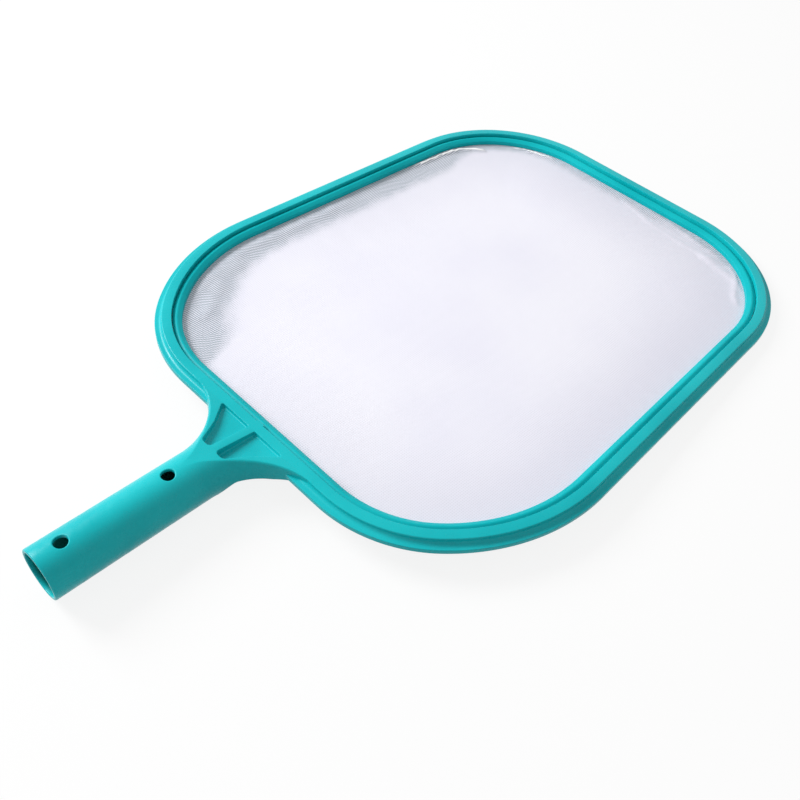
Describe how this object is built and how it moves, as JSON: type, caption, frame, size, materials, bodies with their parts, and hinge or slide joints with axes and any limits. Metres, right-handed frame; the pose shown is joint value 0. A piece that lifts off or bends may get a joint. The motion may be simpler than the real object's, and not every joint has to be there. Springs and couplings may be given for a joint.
{
  "type": "leaf skimmer net",
  "caption": "Flat leaf skimmer head: a moulded hoop with a socketed tube handle, a fine net and a ring that holds the net in.",
  "frame": {"origin": "centre of the handle's mouth, on the handle's axis", "axes": "+X from the mouth along the handle to the hoop's far edge, +Z to the side that leaves lie on"},
  "size_m": [0.487, 0.2998, 0.028],
  "materials": {
    "frame_plastic": "semi-gloss moulded teal",
    "ring_plastic": "semi-gloss moulded teal",
    "net_mesh": "fine translucent white mesh"
  },
  "bodies": {
    "root": {"frame": "frame_plastic", "retaining_ring": "ring_plastic", "net": "net_mesh"}
  },
  "joints": []
}
